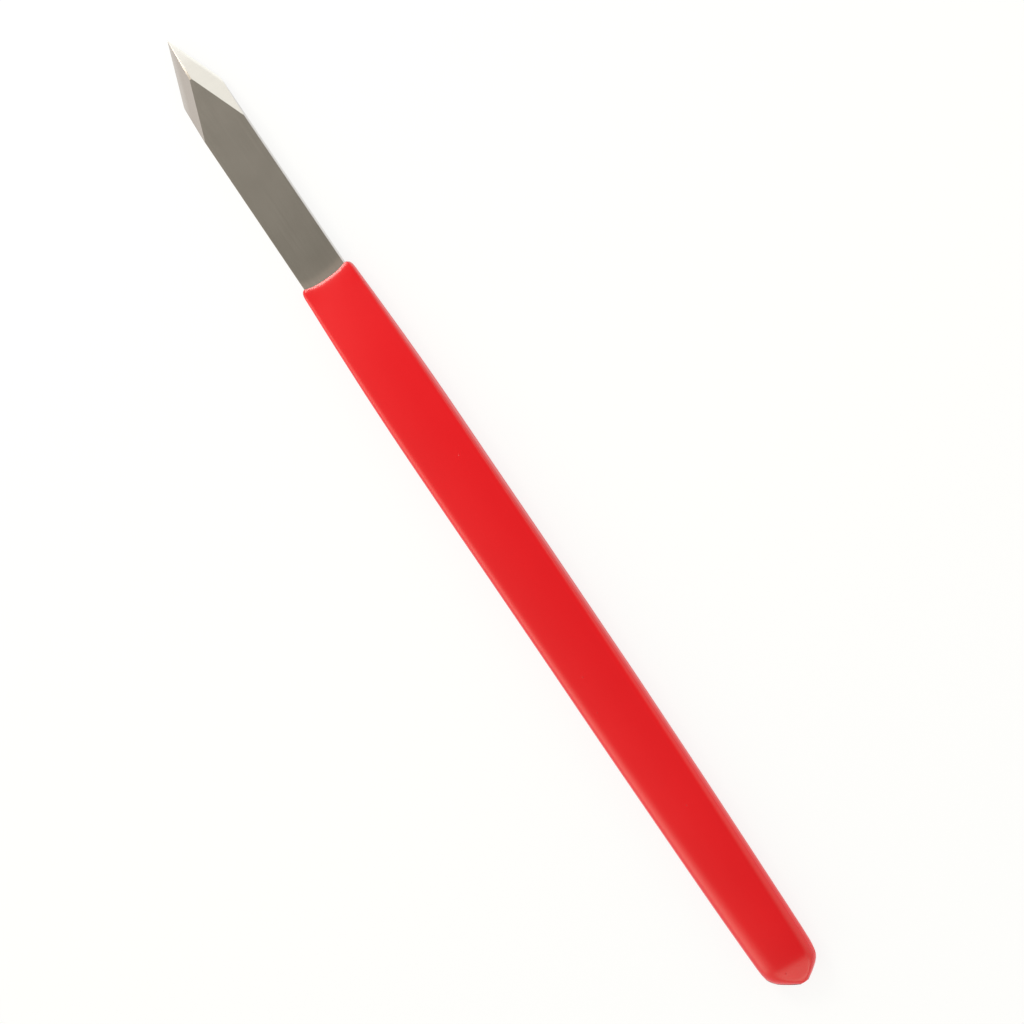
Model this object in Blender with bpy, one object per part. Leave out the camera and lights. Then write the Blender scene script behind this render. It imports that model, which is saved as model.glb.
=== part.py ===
# Deburring scraper: a flat steel bar ground to a spear point, its tang dipped in a soft coat for a grip.
# Metres, +Z up. The tool lies on the back of its grip, ground face up, with the point towards +X.

import math

import bmesh
import bpy
from mathutils import Matrix, Vector

# Steel bar
BAR_WIDTH = 0.0080
BAR_THICKNESS = 0.0025
BLADE_REACH = 0.0471        # bare steel, from the lip of the coat to the tip
POINT_HALF_ANGLE = 20.75    # degrees, each cutting edge to the long axis
BEVEL_ANGLE = 44.0          # degrees, each ground facet to the front face

# Dipped coat, along the tool
GRIP_LENGTH = 0.1412        # lip to butt
NECK_LENGTH = 0.0363        # swells behind the lip
BODY_LENGTH = 0.0430        # parallel stretch behind the neck
BUTT_WALL = 0.0020          # solid coat between the tang's end and the butt's sloping nose

# Dipped coat, across the tool
LIP_COAT = 0.00085          # coat thickness where it starts
BODY_COAT = 0.00155         # on the parallel stretch
BUTT_EDGE_COAT = 0.00095    # what the tail tapers to on the narrow edges
BUTT_FACE_COAT = 0.00135    # and on the wide faces
EDGE_SOFTENING = 0.0008     # extra rounding that the long edges gain towards the butt
BOND_GAP = 0.0003           # between the tang and the coat around it

# Lip of the coat
LIP_ROUND = 0.0010          # length of the rounded bead
LIP_FACE = 0.00025          # flat ring between the bead and the steel
LIP_SAG = 0.00065           # the lip stands back this far in the middle of a wide face
SAG_REACH = 0.0040          # the sag dies out over this length

# Butt of the coat
BUTT_HALF_ANGLE = 56.5      # degrees, the butt's outline to the long axis
BUTT_SLOPE = 24.0           # degrees, the butt's wide faces to the long axis
NOSE_HALF_WIDTH = 0.0012    # blunt end of the nose, before it rounds off
NOSE_HALF_THICKNESS = 0.00075
NOSE_ROUND = 0.0007         # the end of the nose rounds off over this length

# Smoothness
SHOULDER_SHARPNESS = 5      # how closely the butt's outline follows its straight sides
SLOPE_SHARPNESS = 11        # the same, from the wide faces to the butt's slope
FULLEST_ROUND = 0.95        # most of a half side that a rounded edge may take
NOSE_TUCK = 0.4             # share of the nose that is left flat at its end
ARC_STEPS = 6
FACE_STEPS = 5
BEAD_RINGS = 4
NECK_RINGS = 5
BODY_RINGS = 1
TAIL_RINGS = 4
NOSE_RINGS = 10

OVERALL_LENGTH = BLADE_REACH + GRIP_LENGTH
LIP_X = OVERALL_LENGTH / 2 - BLADE_REACH
MIDDLE_Z = BODY_COAT + BAR_THICKNESS / 2
TAIL_START = NECK_LENGTH + BODY_LENGTH
NOSE_LENGTH = max(
    (BAR_WIDTH / 2 + BUTT_EDGE_COAT - NOSE_HALF_WIDTH) / math.tan(math.radians(BUTT_HALF_ANGLE)),
    (BAR_THICKNESS / 2 + BUTT_FACE_COAT - NOSE_HALF_THICKNESS) / math.tan(math.radians(BUTT_SLOPE)),
)
TANG_LENGTH = GRIP_LENGTH - NOSE_LENGTH - BUTT_WALL


def clear_scene():
    for obj in list(bpy.data.objects):
        bpy.data.objects.remove(obj, do_unlink=True)


def make_collection(name):
    collection = bpy.data.collections.new(name)
    bpy.context.scene.collection.children.link(collection)
    return collection


def make_material(name, colour, metallic, roughness):
    material = bpy.data.materials.new(name)
    material.use_nodes = True
    shader = material.node_tree.nodes["Principled BSDF"]
    shader.inputs["Base Color"].default_value = (*colour, 1.0)
    shader.inputs["Metallic"].default_value = metallic
    shader.inputs["Roughness"].default_value = roughness
    return material


def make_object(name, bm, collection, parent):
    mesh = bpy.data.meshes.new(name)
    bm.to_mesh(mesh)
    bm.free()
    obj = bpy.data.objects.new(name, mesh)
    obj.parent = parent
    collection.objects.link(obj)
    return obj


def box(front_x, back_x, width, thickness):
    # A box along X, centred on the bar's middle plane
    bm = bmesh.new()
    middle = Matrix.Translation(((front_x + back_x) / 2, 0, 0))
    size = Matrix.Diagonal((front_x - back_x, width, thickness, 1))
    bmesh.ops.create_cube(bm, size=1, matrix=middle @ size)
    return bm


def grind(bm, point, normal):
    # Takes away what lies outside a plane, and leaves a flat ground facet there
    everything = bm.verts[:] + bm.edges[:] + bm.faces[:]
    cut = bmesh.ops.bisect_plane(bm, geom=everything, plane_co=point, plane_no=normal, clear_outer=True)
    rim = [part for part in cut["geom_cut"] if isinstance(part, bmesh.types.BMEdge)]
    bmesh.ops.holes_fill(bm, edges=rim)


def make_blade(collection, parent):
    stock = BLADE_REACH + BAR_WIDTH  # longer than the tip, so that the two facets alone make the point
    bm = box(stock, -TANG_LENGTH, BAR_WIDTH, BAR_THICKNESS)
    tip = Vector((BLADE_REACH, 0, -BAR_THICKNESS / 2))
    point = math.radians(POINT_HALF_ANGLE)
    bevel = math.radians(BEVEL_ANGLE)
    for side in (1, -1):
        outward = Vector((math.sin(point), side * math.cos(point), 0))
        grind(bm, tip, math.sin(bevel) * outward + math.cos(bevel) * Vector((0, 0, 1)))
    blade = make_object("blade", bm, collection, parent)
    blade.data.materials.append(make_material("ground_steel", (0.50, 0.48, 0.44), 1.0, 0.30))
    return blade


def coat_thickness(distance, butt_coat):
    # Coat thickness at a distance behind the lip
    if distance < NECK_LENGTH:
        return BODY_COAT - (BODY_COAT - LIP_COAT) * (1 - distance / NECK_LENGTH) ** 2
    if distance > TAIL_START:
        share = (distance - TAIL_START) / (GRIP_LENGTH - TAIL_START)
        return BODY_COAT - (BODY_COAT - butt_coat) * share ** 2
    return BODY_COAT


def rounded_min(first, second, sharpness):
    return (first ** -sharpness + second ** -sharpness) ** (-1 / sharpness)


def quarter_round(distance, length):
    # Rises from 0 to 1 along a quarter circle, and stays at 1 past its length
    return math.sqrt(1 - (1 - min(distance / length, 1)) ** 2)


def section(half_width, half_thickness, radius):
    # A rectangle with round corners in the YZ plane, with extra points along its wide sides
    radius = min(radius, FULLEST_ROUND * half_width, FULLEST_ROUND * half_thickness)
    flat = half_width - radius
    rise = half_thickness - radius
    points = []
    for quarter, (side, face) in enumerate(((1, 1), (-1, 1), (-1, -1), (1, -1))):
        for step in range(ARC_STEPS + 1):
            angle = (quarter + step / ARC_STEPS) * math.pi / 2
            points.append((side * flat + radius * math.cos(angle), face * rise + radius * math.sin(angle)))
        if quarter in (0, 2):
            for step in range(1, FACE_STEPS):
                points.append((side * flat * (1 - 2 * step / FACE_STEPS), face * half_thickness))
    return points


def coat_ring(distance, edge_coat, face_coat):
    # The coat's outline at a distance behind the lip
    to_butt = GRIP_LENGTH - distance
    outline = NOSE_HALF_WIDTH + to_butt * math.tan(math.radians(BUTT_HALF_ANGLE))
    slope = NOSE_HALF_THICKNESS + to_butt * math.tan(math.radians(BUTT_SLOPE))
    nose = NOSE_TUCK + (1 - NOSE_TUCK) * quarter_round(to_butt, NOSE_ROUND)
    half_width = nose * rounded_min(BAR_WIDTH / 2 + edge_coat, outline, SHOULDER_SHARPNESS)
    half_thickness = nose * rounded_min(BAR_THICKNESS / 2 + face_coat, slope, SLOPE_SHARPNESS)
    radius = face_coat + EDGE_SOFTENING * distance / GRIP_LENGTH
    sag = LIP_SAG * max(0, 1 - distance / SAG_REACH) ** 2
    ring = []
    for y, z in section(half_width, half_thickness, radius):
        ring.append((-distance - sag * (1 - (y / half_width) ** 2), y, z))
    return ring


def bead_coats(distance):
    # Inside the bead the coat rounds off from its full thickness down to the flat ring at the steel
    foot = BOND_GAP + LIP_FACE
    swell = quarter_round(distance, LIP_ROUND)
    full = (coat_thickness(distance, BUTT_EDGE_COAT), coat_thickness(distance, BUTT_FACE_COAT))
    return [foot + (coat - foot) * swell for coat in full]


def ring_distances():
    round_steps = [1 - math.cos(step / BEAD_RINGS * math.pi / 2) for step in range(BEAD_RINGS)]
    distances = [LIP_ROUND * step for step in round_steps]
    for start, end, count in (
        (LIP_ROUND, NECK_LENGTH, NECK_RINGS),
        (NECK_LENGTH, TAIL_START, BODY_RINGS),
        (TAIL_START, TANG_LENGTH, TAIL_RINGS),
        (TANG_LENGTH, GRIP_LENGTH - NOSE_ROUND, NOSE_RINGS),
    ):
        for step in range(count):
            distances.append(start + (end - start) * step / count)
    distances.append(GRIP_LENGTH - NOSE_ROUND)
    distances += [GRIP_LENGTH - NOSE_ROUND * step for step in reversed(round_steps)]
    return distances


def loft(rings):
    bm = bmesh.new()
    loops = [[bm.verts.new(point) for point in ring] for ring in rings]
    for near, far in zip(loops, loops[1:]):
        for i in range(len(near)):
            bm.faces.new((near[i - 1], near[i], far[i], far[i - 1]))
    for end in (loops[0], loops[-1]):
        bm.faces.new(end)
    bmesh.ops.recalc_face_normals(bm, faces=bm.faces)
    return bm


def make_grip(collection, cutters, parent):
    # The first ring lies inside the tang's socket, so that cutting the socket leaves a clean lip
    rings = [coat_ring(0, BOND_GAP / 2, BOND_GAP / 2)]
    for distance in ring_distances():
        rings.append(coat_ring(distance, *bead_coats(distance)))
    grip = make_object("grip", loft(rings), collection, parent)
    grip.data.materials.append(make_material("red_dip_coat", (0.78, 0.022, 0.026), 0.0, 0.25))
    grip.data.shade_smooth()
    grip.data.set_sharp_from_angle(angle=math.radians(30))

    clearance = 2 * BOND_GAP
    socket_bm = box(BAR_WIDTH, -TANG_LENGTH - BOND_GAP, BAR_WIDTH + clearance, BAR_THICKNESS + clearance)
    socket = make_object("tang_socket_cutter", socket_bm, cutters, parent)
    socket.hide_render = True
    socket.display_type = "WIRE"
    cut = grip.modifiers.new("tang_socket", "BOOLEAN")
    cut.operation = "DIFFERENCE"
    cut.object = socket
    return grip


def main():
    clear_scene()
    parts = make_collection("deburring_scraper")
    cutters = make_collection("cutters")
    # Both pieces are drawn from the middle of the bar at the lip of the coat
    lip = bpy.data.objects.new("lip_centre", None)
    lip.location = (LIP_X, 0, MIDDLE_Z)
    parts.objects.link(lip)
    make_blade(parts, lip)
    make_grip(parts, cutters, lip)


main()
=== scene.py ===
import math

import bmesh
import bpy
from mathutils import Matrix, Vector


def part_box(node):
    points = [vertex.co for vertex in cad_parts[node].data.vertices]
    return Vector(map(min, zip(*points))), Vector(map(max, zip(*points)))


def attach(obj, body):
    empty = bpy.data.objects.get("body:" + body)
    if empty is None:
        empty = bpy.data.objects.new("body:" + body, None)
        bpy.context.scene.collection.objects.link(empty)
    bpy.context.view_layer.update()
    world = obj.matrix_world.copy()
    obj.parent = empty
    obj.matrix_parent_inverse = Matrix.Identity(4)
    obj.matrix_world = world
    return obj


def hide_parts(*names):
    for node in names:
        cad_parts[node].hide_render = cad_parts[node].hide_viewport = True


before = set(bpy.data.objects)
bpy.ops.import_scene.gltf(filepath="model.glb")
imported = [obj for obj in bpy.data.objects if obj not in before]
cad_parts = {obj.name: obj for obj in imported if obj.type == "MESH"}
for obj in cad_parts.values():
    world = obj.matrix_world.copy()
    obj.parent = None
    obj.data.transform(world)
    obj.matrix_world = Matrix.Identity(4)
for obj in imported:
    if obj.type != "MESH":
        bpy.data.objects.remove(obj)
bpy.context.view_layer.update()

print("frame:", ", ".join(sorted(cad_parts)))

bladeLow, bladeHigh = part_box("blade")
gripLow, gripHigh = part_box("grip")
barHalfWidth = bladeHigh.y
barHalfThickness = (bladeHigh.z - bladeLow.z) / 2
middleZ = (bladeHigh.z + bladeLow.z) / 2
lipX = gripHigh.x
gripLength = gripHigh.x - gripLow.x


# Camera, at the photograph's viewing angle
viewOfTool = {
    "lean": 7.0,           # degrees off straight down, towards the -Y side
    "slant": 55.98,        # degrees that the tool runs below the picture's horizontal
    "aim": (-0.00269, -0.00377, 0.0028),
    "span": 0.1695,        # metres that the picture covers at the tool
    "lens": 150.0,
    "sensor": 36.0,
    "clip": (0.01, 50.0),
}


def setCamera():
    lean = math.radians(viewOfTool["lean"])
    slant = math.radians(viewOfTool["slant"])
    along = Vector((1, 0, 0))
    aside = Vector((0, -math.cos(lean), -math.sin(lean)))
    towards = Vector((0, -math.sin(lean), math.cos(lean)))
    right = aside * math.sin(slant) - along * math.cos(slant)
    up = aside * math.cos(slant) + along * math.sin(slant)
    distance = viewOfTool["span"] * viewOfTool["lens"] / viewOfTool["sensor"]
    place = Vector(viewOfTool["aim"]) + towards * distance
    turn = Matrix((right, up, towards)).transposed().to_4x4()
    bpy.ops.object.camera_add()
    camera = bpy.context.object
    camera.name = "photo_camera"
    camera.data.lens = viewOfTool["lens"]
    camera.data.sensor_width = viewOfTool["sensor"]
    camera.data.clip_start, camera.data.clip_end = viewOfTool["clip"]
    camera.matrix_world = Matrix.Translation(place) @ turn
    bpy.context.scene.camera = camera


setCamera()
print("camera set")


# Shader sums: a Value is one output socket, and sums on it add Math nodes to its sheet
class Value:
    def __init__(self, sheet, socket):
        self.sheet = sheet
        self.socket = socket

    def maths(self, operation, other=0.0, reflected=False):
        first, second = (other, self) if reflected else (self, other)
        return self.sheet.node("ShaderNodeMath", {"operation": operation}, {0: first, 1: second})

    def __add__(self, other):
        return self.maths("ADD", other)

    def __radd__(self, other):
        return self.maths("ADD", other, reflected=True)

    def __sub__(self, other):
        return self.maths("SUBTRACT", other)

    def __rsub__(self, other):
        return self.maths("SUBTRACT", other, reflected=True)

    def __mul__(self, other):
        return self.maths("MULTIPLY", other)

    def __truediv__(self, other):
        return self.maths("DIVIDE", other)


class Sheet:
    def __init__(self, owner):
        owner.use_nodes = True
        self.tree = owner.node_tree
        self.tree.nodes.clear()

    # Adds one node: its settings first, then the values or links of its sockets
    def node(self, kind, settings=None, sockets=None, output=0):
        made = self.tree.nodes.new(kind)
        for name, value in (settings or {}).items():
            setattr(made, name, value)
        for key, value in (sockets or {}).items():
            if isinstance(value, Value):
                self.tree.links.new(value.socket, made.inputs[key])
            else:
                made.inputs[key].default_value = value
        return Value(self, made.outputs[output]) if len(made.outputs) else None

    def smooth(self, value, low, high):
        return self.node(
            "ShaderNodeMapRange",
            {"interpolation_type": "SMOOTHSTEP", "clamp": True},
            {"Value": value, "From Min": low, "From Max": high, "To Min": 0.0, "To Max": 1.0},
        )

    # Sockets 6 and 7 and output 2 are the node's colours
    def mixColour(self, share, first, second):
        settings = {"data_type": "RGBA", "blend_type": "MIX", "clamp_factor": True}
        return self.node("ShaderNodeMix", settings, {0: share, 6: first, 7: second}, output=2)

    # Object coordinates, scaled and turned about Z
    def place(self, scale=(1, 1, 1), turn=0.0):
        coords = self.node("ShaderNodeTexCoord", output="Object")
        rotation = (0, 0, math.radians(turn))
        sockets = {"Vector": coords, "Rotation": rotation, "Scale": scale}
        return self.node("ShaderNodeMapping", {}, sockets)

    def along(self, axis):
        coords = self.node("ShaderNodeTexCoord", output="Object")
        return self.node("ShaderNodeSeparateXYZ", {}, {0: coords}, output=axis)

    def attribute(self, name):
        return self.node("ShaderNodeAttribute", {"attribute_name": name}, output="Fac")

    def noise(self, vector, scale, detail, roughness):
        sockets = {"Vector": vector, "Scale": scale, "Detail": detail, "Roughness": roughness}
        return self.node("ShaderNodeTexNoise", {"noise_dimensions": "3D"}, sockets)


# Soft studio light: a pale tent, open and dim straight overhead, with a few soft lamps round the tool
studio = {
    "overhead": 0.26,               # radiance straight up
    "walls": 0.60,                  # what the tent's walls add to it
    "wallsBand": (7.0, 70.0),       # degrees off straight up
    "left": 0.85,                   # extra towards +Y, in a band across the tool
    "leftStart": 0.05,
    "leftBand": (0.15, 0.55),
    "leftLow": 2.50,                # and more of it low down
    "leftLowStart": 0.70,
    "right": 0.70,                  # extra towards -Y, low down
    "rightStart": 0.55,
    "rear": 0.90,                   # extra towards -X, behind the butt
    "rearBand": (0.42, 0.80),
    "rearLow": 9.0,                 # and more of it low down
    "rearLowStart": 0.82,
    "rearAside": (0.35, 0.80),
    "rearHorizon": (0.12, 0.36),    # it fades out towards the horizon
    "tint": (1.0, 0.975, 0.81, 1.0),
    "lamps": (
        # name, place, aim, width, height, radiance, colour
        ("front_softbox", (0.27, 0.05, 0.25), (0.0, 0.0, 0.0), 0.132, 0.132, 10.3, (1.0, 0.98, 0.91)),
        ("front_canopy", (0.24, 0.0, 0.35), (0.24, 0.0, 0.0), 0.32, 0.30, 0.14, (1.0, 0.98, 0.90)),
        ("right_card", (0.21, -0.27, 0.065), (0.088, 0.0, 0.003), 0.20, 0.10, 1.00, (0.70, 0.838, 0.98)),
    ),
}


def lightRoom():
    world = bpy.data.worlds.new("studio_tent")
    bpy.context.scene.world = world
    sheet = Sheet(world)
    direction = sheet.node("ShaderNodeTexCoord", output="Generated")
    x, y, z = (sheet.node("ShaderNodeSeparateXYZ", {}, {0: direction}, output=axis) for axis in "XYZ")
    tilt = z.maths("ARCCOSINE") * math.degrees(1)
    walls = sheet.smooth(tilt, *studio["wallsBand"]) * studio["walls"]
    left = (y - studio["leftStart"]).maths("MAXIMUM") * studio["left"]
    left = left + (y - studio["leftLowStart"]).maths("MAXIMUM") * studio["leftLow"]
    left = left * (1.0 - sheet.smooth(x.maths("ABSOLUTE"), *studio["leftBand"]))
    right = (-studio["rightStart"] - y).maths("MAXIMUM") * studio["right"]
    rear = sheet.smooth(0.0 - x, *studio["rearBand"]) * studio["rear"]
    rear = rear + (-studio["rearLowStart"] - x).maths("MAXIMUM") * studio["rearLow"]
    rear = rear * (1.0 - sheet.smooth(y.maths("ABSOLUTE"), *studio["rearAside"]))
    rear = rear * sheet.smooth(z, *studio["rearHorizon"])
    level = studio["overhead"] + walls + left + right + rear
    lit = sheet.node("ShaderNodeBackground", {}, {"Color": studio["tint"], "Strength": level})
    sheet.node("ShaderNodeOutputWorld", {}, {"Surface": lit})


def hangLamps():
    for name, place, aim, width, height, radiance, colour in studio["lamps"]:
        bpy.ops.object.light_add(type="AREA", location=place)
        lamp = bpy.context.object
        lamp.name = name
        lamp.data.shape = "RECTANGLE"
        lamp.data.size = width
        lamp.data.size_y = height
        lamp.data.energy = radiance * math.pi * width * height
        lamp.data.color = colour
        lamp.rotation_mode = "QUATERNION"
        lamp.rotation_quaternion = (Vector(place) - Vector(aim)).to_track_quat("Z", "Y")


lightRoom()
hangLamps()


# White floor: what the camera and reflections see of it is mostly plain white, and it keeps the shadow
floorSheet = {
    "size": 12.0,
    "drop": 0.00002,                      # just under the lowest point of the coat
    "plainWhite": 0.85,                   # share of plain white in what is seen of it
    "colour": (0.94, 0.94, 0.94, 1.0),
    "white": (1.0, 1.0, 1.0, 1.0),
}


def layFloor():
    bpy.ops.mesh.primitive_plane_add(size=floorSheet["size"], location=(0, 0, -floorSheet["drop"]))
    floor = bpy.context.object
    floor.name = "white_floor"
    bpy.ops.object.transform_apply(location=True, rotation=True, scale=True)
    material = bpy.data.materials.new("white_floor")
    sheet = Sheet(material)
    camera = sheet.node("ShaderNodeLightPath", output="Is Camera Ray")
    glossy = sheet.node("ShaderNodeLightPath", output="Is Glossy Ray")
    clear = sheet.node("ShaderNodeLightPath", output="Is Transmission Ray")
    seen = camera.maths("MAXIMUM", glossy).maths("MAXIMUM", clear) * floorSheet["plainWhite"]
    matt = sheet.node("ShaderNodeBsdfDiffuse", {}, {"Color": floorSheet["colour"]})
    white = sheet.node("ShaderNodeEmission", {}, {"Color": floorSheet["white"], "Strength": 1.0})
    both = sheet.node("ShaderNodeMixShader", {}, {0: seen, 1: matt, 2: white})
    sheet.node("ShaderNodeOutputMaterial", {}, {"Surface": both})
    floor.data.materials.append(material)


layFloor()
print("light and floor set")


# Picks the edges that the next operator acts on
def pickEdges(piece, test):
    bpy.ops.mesh.select_mode(type="EDGE")
    bpy.ops.mesh.select_all(action="DESELECT")
    mesh = bmesh.from_edit_mesh(piece.data)
    mesh.normal_update()
    for edge in mesh.edges:
        if test(edge):
            edge.select_set(True)
    mesh.select_flush_mode()
    bmesh.update_edit_mesh(piece.data)


def applyModifier(piece, name, kind, **settings):
    modifier = piece.modifiers.new(name, kind)
    for key, value in settings.items():
        setattr(modifier, key, value)
    bpy.ops.object.modifier_apply(modifier=name)


def finishPiece(piece, node, material):
    piece.data.materials.clear()
    piece.data.materials.append(material)
    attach(piece, "root")
    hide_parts(node)


# Blade: flat bar, ground by hand to a spear point on its front face
spear = {
    "leftAngle": 20.25,       # degrees, the +Y cutting edge to the long axis
    "rightAngle": 21.3,       # the -Y cutting edge
    "leftBevel": 45.6,        # degrees, the +Y facet to the front face
    "rightBevel": 42.3,
    "tipShift": 0.00006,      # the tip stands this far off the middle, towards +Y
    "ridgeLeft": 0.00017,     # the facets' ridge is stoned flat, this far to its +Y side at its root
    "ridgeRight": 0.00019,    # and this far to its -Y side
    "barShift": 0.00008,      # the bar lies this far off the middle of its coat, towards +Y
    "longEdges": 0.00010,     # broken edges of the bar
    "edgeSegments": 2,
    "weld": 0.000002,
    "squareFace": 0.995,      # a face that points along an axis by this share counts as square to it
    "groundFace": 0.12,       # and one that points forwards by this share as ground
    "ridgeFace": 0.9999,      # and one this close to the stoned flat's direction as the flat
    "smoothAngle": 24.0,      # degrees
}


def faceKind(face):
    normal = face.normal
    square = spear["squareFace"]
    if normal.z > square:
        return "front"
    if normal.z < -square:
        return "back"
    if abs(normal.y) > square:
        return "side"
    if normal.x < -square:
        return "end"
    return "facet"


def isLongEdge(edge):
    kinds = sorted(faceKind(face) for face in edge.link_faces)
    return kinds in (["front", "side"], ["back", "side"])


def isGroundEdge(edge):
    return max(face.normal.x for face in edge.link_faces) > spear["groundFace"]


# Directions of the cuts through the tip: the two facets, then the flat along the ridge between them
def pointCuts():
    cuts = []
    for side, angle, bevel in ((1, "leftAngle", "leftBevel"), (-1, "rightAngle", "rightBevel")):
        angle = math.radians(spear[angle])
        bevel = math.radians(spear[bevel])
        outward = Vector((math.sin(angle), side * math.cos(angle), 0))
        cuts.append(outward * math.sin(bevel) + Vector((0, 0, math.cos(bevel))))
    ridge = cuts[0].cross(cuts[1]).normalized()
    ridge *= 2 * barHalfThickness / ridge.z
    leftward = Vector((ridge.y, -ridge.x, 0)).normalized()
    borders = []
    for cut, reach in zip(cuts, (spear["ridgeLeft"], -spear["ridgeRight"])):
        borders.append(ridge + leftward * reach - Vector((0, 0, reach * cut.dot(leftward) / cut.z)))
    cuts.append(borders[0].cross(borders[1]).normalized())
    return cuts


# Marks the faces that the steel's material tells apart
def markFaces(blade, ridgeNormal):
    mesh = bmesh.from_edit_mesh(blade.data)
    ground = mesh.faces.layers.float.new("groundFacet")
    stoned = mesh.faces.layers.float.new("stonedRidge")
    narrow = mesh.faces.layers.float.new("narrowSide")
    for face in mesh.faces:
        face[narrow] = 1.0 if faceKind(face) == "side" else 0.0
        face[ground] = 1.0 if face.normal.x > spear["groundFace"] else 0.0
        face[stoned] = 1.0 if face.normal.dot(ridgeNormal) > spear["ridgeFace"] else 0.0
    bmesh.update_edit_mesh(blade.data)


def modelBlade():
    bpy.ops.object.select_all(action="DESELECT")
    stock = 2 * barHalfWidth      # spare length past the tip, for the facets to cut away
    length = bladeHigh.x + stock - bladeLow.x
    middle = ((bladeHigh.x + stock + bladeLow.x) / 2, spear["barShift"], middleZ)
    bpy.ops.mesh.primitive_cube_add(size=1, location=middle)
    blade = bpy.context.object
    blade.name = "spear_blade"
    blade.scale = (length, 2 * barHalfWidth, 2 * barHalfThickness)
    bpy.ops.object.transform_apply(location=True, rotation=True, scale=True)
    bpy.ops.object.mode_set(mode="EDIT")
    tip = Vector((bladeHigh.x, spear["tipShift"], bladeLow.z))
    cuts = pointCuts()
    for normal in cuts:
        bpy.ops.mesh.select_all(action="SELECT")
        bpy.ops.mesh.bisect(plane_co=tip, plane_no=normal, use_fill=True, clear_outer=True)
    pickEdges(blade, isLongEdge)
    bpy.ops.mesh.bevel(offset=spear["longEdges"], segments=spear["edgeSegments"], affect="EDGES")
    bpy.ops.mesh.select_all(action="SELECT")
    bpy.ops.mesh.remove_doubles(threshold=spear["weld"])
    bpy.ops.mesh.normals_make_consistent(inside=False)
    markFaces(blade, cuts[-1])
    pickEdges(blade, isGroundEdge)
    bpy.ops.mesh.mark_sharp()
    bpy.ops.object.mode_set(mode="OBJECT")
    bpy.ops.object.shade_smooth_by_angle(angle=math.radians(spear["smoothAngle"]))
    applyModifier(blade, "evenShading", "WEIGHTED_NORMAL", keep_sharp=True)
    return blade


# Ground steel: fine lines along the bar, lines across the facets, narrow sides painted lighter as a painted
# reflection, and ahead of the coat a band that is partly a thin film and partly a painted reflection of the
# red lip
steelFinish = {
    "colour": (0.460, 0.423, 0.406, 1.0),
    "bright": (0.485, 0.446, 0.429, 1.0),
    "dull": (0.438, 0.402, 0.384, 1.0),
    "evenness": 0.4,                          # share of the plain colour over bright and dull
    "lineShare": 0.6,                         # lines against clouds, in bright and dull
    "shadeBand": (0.35, 0.65),
    "facet": (0.495, 0.449, 0.413, 1.0),      # fresh steel, on the ground facets
    "facetFleck": 0.10,                       # bright lines on them
    "honed": (0.600, 0.560, 0.530, 1.0),      # along their cutting edges
    "honedWidth": (0.0012, 0.0006),           # on the +Y and the -Y facet
    "honedWaver": 0.4,
    "polished": (0.572, 0.523, 0.492, 1.0),   # towards the tip, on the -Y facet
    "polishReach": (0.0012, 0.0062),          # behind the tip
    "polishSide": 0.0004,                     # fades out over this width at the ridge
    "side": (0.550, 0.520, 0.490, 1.0),       # the bar's narrow sides, painted lighter: a painted reflection of an unshaded white floor beside them
    # lighter, reddish band ahead of the lip: partly a thin film the coat left, partly a painted reflection
    # of the red lip
    "filmAndReflection": (0.600, 0.515, 0.492, 1.0),
    "filmNear": (0.0004, 0.0020),             # its thick part fades out over this range ahead of the lip
    "filmNearShare": 0.75,
    "filmFar": (0.0012, 0.0050),              # and its thin part over this
    "filmFarShare": 0.12,
    "filmWaver": 0.0012,
    "roughness": 0.20,
    "lineRoughness": 0.10,                    # what lines, clouds and film change of it
    "cloudRoughness": 0.06,
    "filmRoughness": 0.06,
    "ridgeRoughness": (0.50, 0.72),           # of the stoned ridge, near the tip and at its root
    "ridgeFade": (0.0052, 0.0080),            # behind the tip
    "barLines": (60, 5200, 5200),             # scale of the lines along each axis
    "facetLines": (4200, 90, 90),
    "facetTurn": -20.0,                       # degrees
    "barLineNoise": (1.0, 3.0, 0.65),         # scale, detail and roughness of each noise
    "facetLineNoise": (1.0, 3.0, 0.6),
    "cloudNoise": (190.0, 3.0, 0.55),
    "fineNoise": (2600.0, 2.0, 0.5),
    "fineBump": 0.3,
    "bump": 0.10,
    "bumpDepth": 0.000004,
}


# 1 at the cutting edges, 0 further in than the honed width
def edgeNearness(sheet, x, y, cloud):
    behind = bladeHigh.x - x
    aside = y - spear["tipShift"]
    leftWidth, rightWidth = steelFinish["honedWidth"]
    left = (behind * math.tan(math.radians(spear["leftAngle"])) - aside) / leftWidth
    right = (behind * math.tan(math.radians(spear["rightAngle"])) + aside) / rightWidth
    inside = left.maths("MINIMUM", right) + (cloud - 0.5) * steelFinish["honedWaver"]
    return 1.0 - sheet.smooth(inside, 0.0, 1.0)


# The lighter, reddish band ahead of the lip: partly what the coat left on the steel, partly a painted
# reflection of the red lip
def filmAndLipReflection(sheet, x, y, cloud):
    across = y.maths("ABSOLUTE") / barHalfWidth
    dip = (1.0 - across.maths("POWER", coat["sagBend"])).maths("MAXIMUM")
    ahead = x - lipX + dip * coat["lipSag"] + (cloud - 0.5) * steelFinish["filmWaver"]
    near = 1.0 - sheet.smooth(ahead, *steelFinish["filmNear"])
    far = 1.0 - sheet.smooth(ahead, *steelFinish["filmFar"])
    return near * steelFinish["filmNearShare"] + far * steelFinish["filmFarShare"]


def facetColour(sheet, x, y, cloud, shade):
    polish = 1.0 - sheet.smooth(bladeHigh.x - x, *steelFinish["polishReach"])
    polish = polish * (1.0 - sheet.smooth(y - spear["tipShift"], 0.0, steelFinish["polishSide"]))
    fresh = sheet.mixColour(polish, steelFinish["facet"], steelFinish["polished"])
    fresh = sheet.mixColour(edgeNearness(sheet, x, y, cloud), fresh, steelFinish["honed"])
    return sheet.mixColour(shade * steelFinish["facetFleck"], fresh, steelFinish["bright"])


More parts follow.
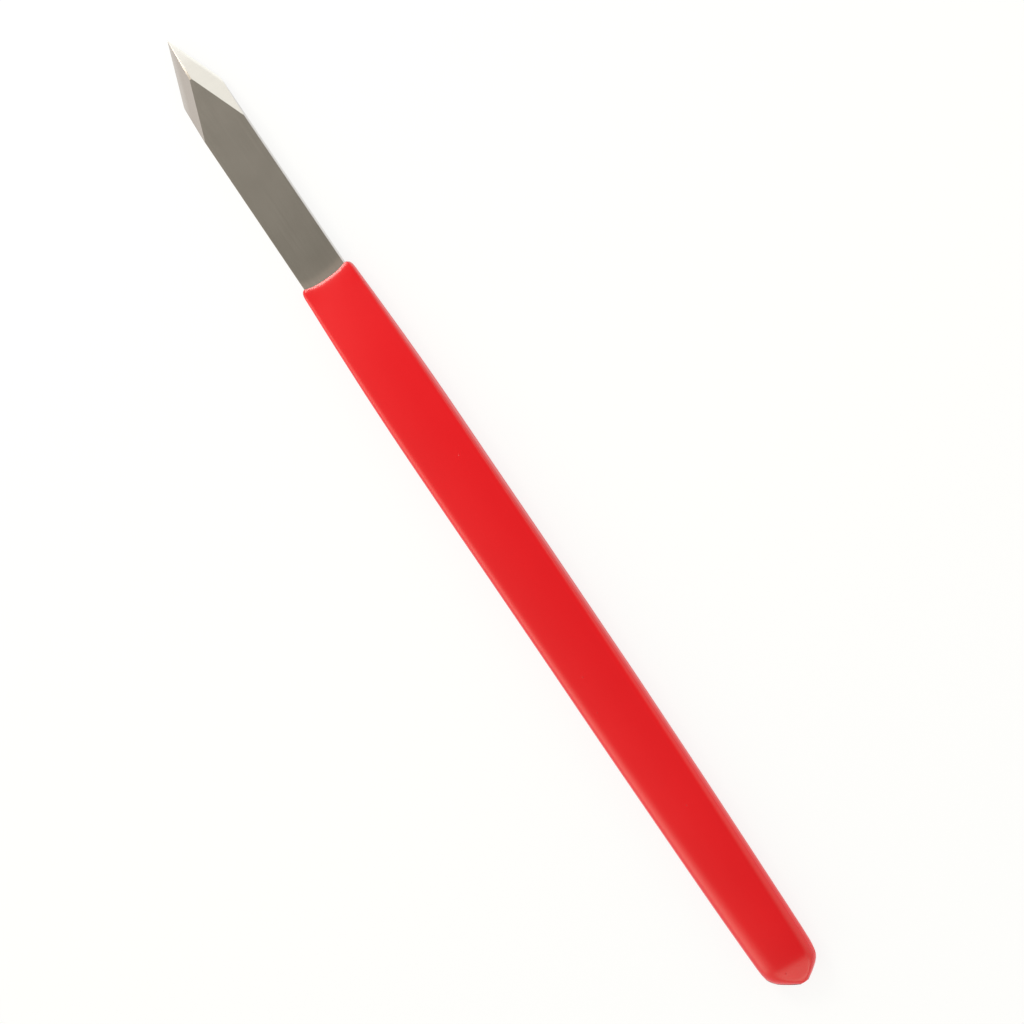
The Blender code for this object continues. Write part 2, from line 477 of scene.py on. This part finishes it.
def groundSteel():
    material = bpy.data.materials.new("ground_steel")
    sheet = Sheet(material)
    x, y = sheet.along("X"), sheet.along("Y")
    facet = sheet.attribute("groundFacet")
    barLines = sheet.noise(sheet.place(steelFinish["barLines"]), *steelFinish["barLineNoise"])
    facetPlace = sheet.place(steelFinish["facetLines"], steelFinish["facetTurn"])
    facetLines = sheet.noise(facetPlace, *steelFinish["facetLineNoise"])
    lines = barLines + (facetLines - barLines) * facet
    cloud = sheet.noise(sheet.place(), *steelFinish["cloudNoise"])
    fine = sheet.noise(sheet.place(), *steelFinish["fineNoise"])
    filmAndReflection = filmAndLipReflection(sheet, x, y, cloud)

    share = steelFinish["lineShare"]
    shade = sheet.smooth(lines * share + cloud * (1 - share), *steelFinish["shadeBand"])
    colour = sheet.mixColour(shade, steelFinish["dull"], steelFinish["bright"])
    colour = sheet.mixColour(steelFinish["evenness"], colour, steelFinish["colour"])
    colour = sheet.mixColour(facet, colour, facetColour(sheet, x, y, cloud, shade))
    # Painted reflection: the narrow sides are painted lighter than the rest of the bar
    colour = sheet.mixColour(sheet.attribute("narrowSide"), colour, steelFinish["side"])
    # Painted reflection of the red lip, over a thin film that the coat left, ahead of the lip
    colour = sheet.mixColour(filmAndReflection, colour, steelFinish["filmAndReflection"])

    roughness = steelFinish["roughness"] + (lines - 0.5) * steelFinish["lineRoughness"]
    roughness = roughness + (cloud - 0.5) * steelFinish["cloudRoughness"]
    roughness = roughness + filmAndReflection * steelFinish["filmRoughness"]
    near, far = steelFinish["ridgeRoughness"]
    stoned = near + sheet.smooth(bladeHigh.x - x, *steelFinish["ridgeFade"]) * (far - near)
    roughness = roughness + (stoned - roughness) * sheet.attribute("stonedRidge")
    height = lines + fine * steelFinish["fineBump"]
    bump = sheet.node(
        "ShaderNodeBump",
        {},
        {"Strength": steelFinish["bump"], "Distance": steelFinish["bumpDepth"], "Height": height},
    )
    shader = sheet.node(
        "ShaderNodeBsdfPrincipled",
        {},
        {"Base Color": colour, "Metallic": 1.0, "Roughness": roughness, "Normal": bump},
    )
    sheet.node("ShaderNodeOutputMaterial", {}, {"Surface": shader})
    return material


# Grip: soft coat dipped over the tang, thin at its lip, full in the middle, with a blunt drip nose
coat = {
    "lipCoat": 0.00085,           # thickness over the steel, where the coat starts
    "bodyCoat": 0.00155,
    "buttEdgeCoat": 0.00095,
    "buttFaceCoat": 0.00135,
    "neckLength": 0.0363,
    "bodyLength": 0.0430,
    "fit": 0.00001,               # between the steel and the coat on it
    "beadSideLength": 0.0016,     # how far back the lip rounds off on the narrow edges
    "beadSideBluntness": 2.6,
    "rimLength": 0.00048,         # on the wide faces a steep rim rises from the steel over this length
    "rimShare": 0.16,
    "swellLength": 0.0075,        # and a slow swell follows it
    "lipSag": 0.00058,            # the lip stands back in the middle of a wide face
    "sagBend": 3,                 # power of its curve across the face
    "sagReach": 0.0060,
    "edgeRound": 0.8,             # radius of the long edges, as a share of the coat on the wide faces
    "edgeSoftening": 0.0012,      # extra rounding of the long edges towards the butt
    "leftStretch": (1.0, 1.38),   # width over height of the +Y edges' rounding, at the lip and at the butt
    "rightStretch": (0.45, 0.86), # the -Y edges are tighter
    "fullestRound": 0.95,         # most of a half side that a rounding may take
    "widestCorner": 0.6,          # most of the half width that a corner's radius may take
    "crown": 0.00024,             # the wide faces fall off this far at their edges
    "buttCrown": 0.00026,
    "crownStart": 0.0005,         # behind the lip
    "crownGrowth": 0.004,
    "skin": 0.0002,               # what lies this far outside the tang is the coat's outer skin
    "buttHalfAngle": 56.5,        # degrees
    "buttSlope": 24.0,
    "noseReach": 0.00015,         # past the CAD's end
    "noseHalfWidth": 0.00092,
    "noseHalfThickness": 0.00078,
    "noseRound": 0.0012,          # the nose rounds off over this length, seen from the side
    "noseTuck": 0.55,
    "noseSideRound": 0.00085,     # and seen from the front
    "noseSideTuck": 0.72,
    "noseBluntness": 2,
    "shoulderSharpness": 5.0,
    "slopeSharpness": 11.0,
    "noseShift": -0.00038,        # the nose hangs a little to the -Y side
    "shiftLength": 0.0045,
    "noseRoll": 5.0,              # degrees that the butt's slope stands askew
    "rollLength": 0.0065,
    "bow": -0.00011,              # the coat lies a little to the -Y side in the back half of the grip
    "bowMiddle": 0.083,
    "bowReach": 0.055,
    "ringPoints": 36,
    "faceCuts": 9,
    "edgeCuts": 2,
    "rimReach": 0.0012,           # rings crowd up to the lip over this length
    "rimSteps": 12,
    "swellReach": 0.005,          # and are still close up to here
    "noseLength": 0.0085,         # and are close again over the last of the grip
    "stretchRings": (9, 14, 9, 15, 22),    # on the swell, neck, body, tail and nose
    "roundRings": 9,
    "socketCorner": 0.00006,
    "socketStep": 0.0003,         # from the socket's closed end to its next ring
    "socketRings": (0.09, 0.05, 0.02, 0.004, 0.0015, 0.0004, 0.00008),    # behind the lip
    "wave": 0.00010,              # slow unevenness of the coat
    "waveSize": 0.016,
    "waveDepth": 0.0006,          # it is full where the coat is this thick
    "waveStart": 0.001,           # behind the lip
    "waveGrowth": 0.012,
    "smoothAngle": 50.0,          # degrees
}


def coatThickness(distance, buttCoat):
    body = coat["bodyCoat"]
    tailStart = coat["neckLength"] + coat["bodyLength"]
    if distance < coat["neckLength"]:
        beforeBody = 1 - distance / coat["neckLength"]
        return body - (body - coat["lipCoat"]) * beforeBody ** 2
    if distance > tailStart:
        pastBody = (distance - tailStart) / (gripLength - tailStart)
        return body - (body - buttCoat) * pastBody ** 2
    return body


def roundedMin(first, second, sharpness):
    return (first ** -sharpness + second ** -sharpness) ** (-1 / sharpness)


def bluntRound(distance, length, bluntness):
    return (1 - (1 - min(distance / length, 1)) ** bluntness) ** (1 / bluntness)


def noseRounding(toButt, length, tuck):
    return tuck + (1 - tuck) * bluntRound(toButt, length, coat["noseBluntness"])


def easeIn(value):
    value = max(0.0, min(1.0, value))
    return value * value * (3 - 2 * value)


def edgeStretch(ends, along, most):
    return min(ends[0] + (ends[1] - ends[0]) * along, coat["fullestRound"] * most)


def coatRing(distance):
    sideBead = bluntRound(distance, coat["beadSideLength"], coat["beadSideBluntness"])
    rim = coat["rimShare"] * math.exp(-distance / coat["rimLength"])
    swell = (1 - coat["rimShare"]) * math.exp(-distance / coat["swellLength"])
    faceBead = 1 - rim - swell
    faceFull = coatThickness(distance, coat["buttFaceCoat"])
    edgeCoat = coat["fit"] + coatThickness(distance, coat["buttEdgeCoat"]) * sideBead
    faceCoat = coat["fit"] + faceFull * faceBead
    toButt = max(0.0, gripLength + coat["noseReach"] - distance)
    outline = coat["noseHalfWidth"] + toButt * math.tan(math.radians(coat["buttHalfAngle"]))
    slope = coat["noseHalfThickness"] + toButt * math.tan(math.radians(coat["buttSlope"]))
    sideNose = noseRounding(toButt, coat["noseRound"], coat["noseTuck"])
    frontNose = noseRounding(toButt, coat["noseSideRound"], coat["noseSideTuck"])
    halfWidth = frontNose * roundedMin(barHalfWidth + edgeCoat, outline, coat["shoulderSharpness"])
    halfThickness = sideNose * roundedMin(barHalfThickness + faceCoat, slope, coat["slopeSharpness"])
    along = (distance / gripLength) ** 2
    edgeRound = coat["edgeRound"] * faceFull + coat["edgeSoftening"] * along
    corner = min(edgeRound, coat["fullestRound"] * halfThickness, coat["widestCorner"] * halfWidth)
    aside = coat["noseShift"] * easeIn(1 - toButt / coat["shiftLength"])
    aside += coat["bow"] * easeIn(1 - abs(distance - coat["bowMiddle"]) / coat["bowReach"])
    return {
        "x": lipX - distance,
        "y": aside,
        "halfWidth": halfWidth,
        "halfThickness": halfThickness,
        "corner": corner,
        "leftStretch": edgeStretch(coat["leftStretch"], along, halfWidth / corner),
        "rightStretch": edgeStretch(coat["rightStretch"], along, halfWidth / corner),
        "roll": math.radians(coat["noseRoll"]) * easeIn(1 - toButt / coat["rollLength"]),
    }


def socketRing(distance):
    return {
        "x": lipX - distance,
        "y": spear["barShift"],
        "halfWidth": barHalfWidth + coat["fit"],
        "halfThickness": barHalfThickness + coat["fit"],
        "corner": coat["socketCorner"],
        "leftStretch": 1.0,
        "rightStretch": 1.0,
        "roll": 0.0,
    }


# Distances of the coat's rings behind the lip. The rim has no ring at its first step: two rings that
# close to each other are bridged crosswise
def ringDistances():
    tailStart = coat["neckLength"] + coat["bodyLength"]
    end = gripLength + coat["noseReach"]
    noseStart = end - coat["noseLength"]
    roundStart = end - coat["noseRound"]
    steps = coat["rimSteps"]
    distances = [0.0] + [coat["rimReach"] * (step / steps) ** 2 for step in range(2, steps)]
    stops = (coat["rimReach"], coat["swellReach"], coat["neckLength"], tailStart, noseStart, roundStart)
    for near, far, count in zip(stops, stops[1:], coat["stretchRings"]):
        distances += [near + (far - near) * step / count for step in range(count)]
    steps = coat["roundRings"]
    for step in range(steps + 1):
        distances.append(end - coat["noseRound"] * (1 - math.sin(step / steps * math.pi / 2)))
    return distances


# One outline of the coat: a circle of the corner's radius, its quarters moved apart, its flats cut finer
def shapeRing(piece, ring):
    count = coat["ringPoints"]
    centre = (ring["x"], 0, middleZ)
    bpy.ops.transform.rotate(value=math.pi / count, orient_axis="X", center_override=centre)
    for side, stretch in ((1, ring["leftStretch"]), (-1, ring["rightStretch"])):
        for face in (1, -1):
            mesh = bmesh.from_edit_mesh(piece.data)
            mesh.verts.ensure_lookup_table()
            bpy.ops.mesh.select_all(action="DESELECT")
            for vert in mesh.verts[-count:]:
                if vert.co.y * side > 0 and (vert.co.z - middleZ) * face > 0:
                    vert.select_set(True)
            mesh.select_flush(True)
            bmesh.update_edit_mesh(piece.data)
            bpy.ops.transform.resize(value=(1, stretch, 1), center_override=centre)
            aside = side * (ring["halfWidth"] - ring["corner"] * stretch)
            rise = face * (ring["halfThickness"] - ring["corner"])
            bpy.ops.transform.translate(value=(0, aside, rise))
    for cuts, axis in ((coat["faceCuts"], 1), (coat["edgeCuts"], 2)):
        mesh = bmesh.from_edit_mesh(piece.data)
        mesh.verts.ensure_lookup_table()
        bpy.ops.mesh.select_all(action="DESELECT")
        for vert in mesh.verts[-count:]:
            for edge in vert.link_edges:
                low, high = (end.co - Vector(centre) for end in edge.verts)
                if low[axis] * high[axis] < 0:
                    edge.select_set(True)
        bmesh.update_edit_mesh(piece.data)
        bpy.ops.mesh.subdivide(number_cuts=cuts)
        count += 2 * cuts
    pickRings(piece, 1)
    if ring["roll"]:
        bpy.ops.transform.rotate(value=ring["roll"], orient_axis="X", center_override=centre)
    if ring["y"]:
        bpy.ops.transform.translate(value=(0, ring["y"], 0))


# Picks the last few rings that were added
def pickRings(piece, howMany):
    count = coat["ringPoints"] + 2 * coat["faceCuts"] + 2 * coat["edgeCuts"]
    bpy.ops.mesh.select_all(action="DESELECT")
    mesh = bmesh.from_edit_mesh(piece.data)
    mesh.verts.ensure_lookup_table()
    for vert in mesh.verts[-howMany * count:]:
        vert.select_set(True)
    mesh.select_flush(True)
    bmesh.update_edit_mesh(piece.data)


# Rings from the socket's closed end out to the lip, and back over the outside to the nose
def joinRings(rings):
    grip = None
    for ring in rings:
        bpy.ops.mesh.primitive_circle_add(
            vertices=coat["ringPoints"],
            radius=ring["corner"],
            location=(ring["x"], 0, middleZ),
            rotation=(0, math.pi / 2, 0),
        )
        if grip is None:
            grip = bpy.context.object
            grip.name = "dipped_grip"
            bpy.ops.object.transform_apply(location=True, rotation=True, scale=True)
            bpy.ops.object.mode_set(mode="EDIT")
            bpy.ops.mesh.select_mode(type="VERT")
            bpy.ops.mesh.select_all(action="SELECT")
            shapeRing(grip, ring)
            bpy.ops.mesh.edge_face_add()
        else:
            shapeRing(grip, ring)
            pickRings(grip, 2)
            bpy.ops.mesh.bridge_edge_loops()
    pickRings(grip, 1)
    bpy.ops.mesh.edge_face_add()
    bpy.ops.mesh.select_all(action="SELECT")
    bpy.ops.mesh.normals_make_consistent(inside=False)
    bpy.ops.object.mode_set(mode="OBJECT")
    return grip


# How much each point takes part in the lip's sag, the crown of the wide faces and the unevenness
def weighPoints(grip, tangEnd):
    sag = grip.vertex_groups.new(name="lipSag")
    uneven = grip.vertex_groups.new(name="uneven")
    frontCrown = grip.vertex_groups.new(name="frontCrown")
    backCrown = grip.vertex_groups.new(name="backCrown")
    for vert in grip.data.vertices:
        behind = lipX - vert.co.x
        ring = coatRing(max(behind, 0.0))
        offMiddle = min(1.0, abs(vert.co.y - ring["y"]) / ring["halfWidth"])
        fall = coat["crown"] + (coat["buttCrown"] - coat["crown"]) * easeIn(behind / gripLength)
        fall *= easeIn((behind - coat["crownStart"]) / coat["crownGrowth"])
        fall *= offMiddle * offMiddle / coat["buttCrown"]
        outside = max(abs(vert.co.y) - barHalfWidth, abs(vert.co.z - middleZ) - barHalfThickness)
        if outside > coat["skin"] or behind > tangEnd + coat["skin"]:
            (frontCrown if vert.co.z > middleZ else backCrown).add([vert.index], fall, "REPLACE")
        across = min(1.0, abs(vert.co.y) / barHalfWidth)
        dip = max(0.0, 1 - behind / coat["sagReach"]) ** 2 * (1 - across ** coat["sagBend"])
        sag.add([vert.index], dip, "REPLACE")
        wave = easeIn(outside / coat["waveDepth"])
        wave *= easeIn((behind - coat["waveStart"]) / coat["waveGrowth"])
        uneven.add([vert.index], wave, "REPLACE")


def modelGrip():
    bpy.ops.object.select_all(action="DESELECT")
    tangEnd = lipX - bladeLow.x + coat["fit"]
    socket = (tangEnd, tangEnd - coat["socketStep"]) + coat["socketRings"]
    rings = [socketRing(distance) for distance in socket]
    rings += [coatRing(distance) for distance in ringDistances()]
    grip = joinRings(rings)
    weighPoints(grip, tangEnd)
    for group, direction, strength in (
        ("lipSag", "X", -coat["lipSag"]),
        ("frontCrown", "Z", -coat["buttCrown"]),
        ("backCrown", "Z", coat["buttCrown"]),
    ):
        applyModifier(
            grip, group, "DISPLACE", direction=direction,
            strength=strength, mid_level=0.0, vertex_group=group,
        )
    clouds = bpy.data.textures.new("coat_clouds", "CLOUDS")
    clouds.noise_scale = coat["waveSize"]
    clouds.noise_depth = 1
    applyModifier(
        grip, "unevenCoat", "DISPLACE", texture=clouds, texture_coords="LOCAL", direction="NORMAL",
        strength=coat["wave"], mid_level=0.5, vertex_group="uneven",
    )
    applyModifier(grip, "smooth", "SUBSURF", levels=1, render_levels=1)
    bpy.ops.object.shade_smooth_by_angle(angle=math.radians(coat["smoothAngle"]))
    grip.vertex_groups.clear()
    sideways = grip.data.attributes.new("sideways", "FLOAT", "POINT")
    for vert in grip.data.vertices:
        sideways.data[vert.index].value = abs(vert.normal.y)
    return grip


# Red dip coat: glossy, a little uneven, with a few nibs of dust under its skin
redFinish = {
    "colour": (0.704, 0.0035, 0.0095, 1.0),
    "light": (0.729, 0.0042, 0.0103, 1.0),
    "deep": (0.674, 0.0028, 0.0086, 1.0),
    "evenness": 0.4,                          # share of the plain colour over light and deep
    "slowShare": 0.7,                         # slow changes against grain, in light and deep
    "shadeBand": (0.3, 0.7),
    "butt": (0.664, 0.0034, 0.0092, 1.0),     # darker over the last of the grip, towards the butt
    "buttStart": (0.080, 0.0930),
    "edge": (0.775, 0.0040, 0.0098, 1.0),     # painted light: lighter on the -Y edge, standing in for more light from that side
    "paintedLightStart": (0.0038, 0.0052),
    "paintedLightGrowth": (-0.020, 0.070),            # towards the butt
    "roughness": 0.20,
    "slowRoughness": 0.10,                    # what slow changes and grain change of it
    "grainRoughness": 0.06,
    "sideRoughness": 0.42,                    # the narrow sides are duller
    "sideStart": (0.80, 0.97),                # share of the surface's direction that points sideways there
    "ior": 1.54,
    "slowScale": (45, 90, 90),
    "slowNoise": (1.0, 2.0, 0.5),             # scale, detail and roughness of each noise
    "peelNoise": (520.0, 2.0, 0.45),
    "grainNoise": (4200.0, 2.0, 0.6),
    "bump": 0.3,
    "bumpDepth": 0.00004,
    "grainBump": 0.06,
    "nibBump": 5.0,
    "nibShade": 0.5,
    "nibColour": (0.480, 0.0025, 0.0060, 1.0),
    "nibs": (
        # x, y, radius of each speck of dust under the skin
        (-0.0318, 0.0015, 0.00022),
        (-0.0380, 0.0028, 0.00018),
        (-0.0913, 0.0012, 0.00026),
        (0.0100, -0.0021, 0.00014),
        (-0.0589, -0.0009, 0.00015),
    ),
}


# A soft dot at each nib, seen along Z
def dustNibs(sheet):
    flat = sheet.place((1, 1, 0))
    dots = None
    for x, y, radius in redFinish["nibs"]:
        settings = {"operation": "DISTANCE"}
        gap = sheet.node("ShaderNodeVectorMath", settings, {0: flat, 1: (x, y, 0)}, output="Value")
        dot = 1.0 - sheet.smooth(gap, 0.0, radius)
        dots = dot if dots is None else dots + dot
    return dots


def redDipCoat():
    material = bpy.data.materials.new("red_dip_coat")
    sheet = Sheet(material)
    x, y = sheet.along("X"), sheet.along("Y")
    slow = sheet.noise(sheet.place(redFinish["slowScale"]), *redFinish["slowNoise"])
    peel = sheet.noise(sheet.place(), *redFinish["peelNoise"])
    grain = sheet.noise(sheet.place(), *redFinish["grainNoise"])
    nibs = dustNibs(sheet)

    share = redFinish["slowShare"]
    shade = sheet.smooth(slow * share + grain * (1 - share), *redFinish["shadeBand"])
    colour = sheet.mixColour(shade, redFinish["deep"], redFinish["light"])
    colour = sheet.mixColour(redFinish["evenness"], colour, redFinish["colour"])
    butt = sheet.smooth(0.0 - x, *redFinish["buttStart"])
    colour = sheet.mixColour(butt, colour, redFinish["butt"])
    # Painted light: the -Y edge is painted lighter towards the butt, standing in for light from that side
    edge = sheet.smooth(0.0 - y, *redFinish["paintedLightStart"])
    edge = edge * sheet.smooth(0.0 - x, *redFinish["paintedLightGrowth"])
    colour = sheet.mixColour(edge, colour, redFinish["edge"])
    colour = sheet.mixColour(nibs * redFinish["nibShade"], colour, redFinish["nibColour"])

    roughness = redFinish["roughness"] + (slow - 0.5) * redFinish["slowRoughness"]
    roughness = roughness + (grain - 0.5) * redFinish["grainRoughness"]
    dull = sheet.smooth(sheet.attribute("sideways"), *redFinish["sideStart"])
    roughness = roughness + (redFinish["sideRoughness"] - roughness) * dull
    height = peel + grain * redFinish["grainBump"] + nibs * redFinish["nibBump"]
    bump = sheet.node(
        "ShaderNodeBump",
        {},
        {"Strength": redFinish["bump"], "Distance": redFinish["bumpDepth"], "Height": height},
    )
    shader = sheet.node(
        "ShaderNodeBsdfPrincipled",
        {},
        {"Base Color": colour, "Roughness": roughness, "IOR": redFinish["ior"], "Normal": bump},
    )
    sheet.node("ShaderNodeOutputMaterial", {}, {"Surface": shader})
    return material


blade = modelBlade()
finishPiece(blade, "blade", groundSteel())
print("blade ground:", len(blade.data.polygons), "faces")

grip = modelGrip()
finishPiece(grip, "grip", redDipCoat())
print("grip dipped:", len(grip.data.polygons), "faces")

bpy.context.scene.view_settings.view_transform = "Standard"
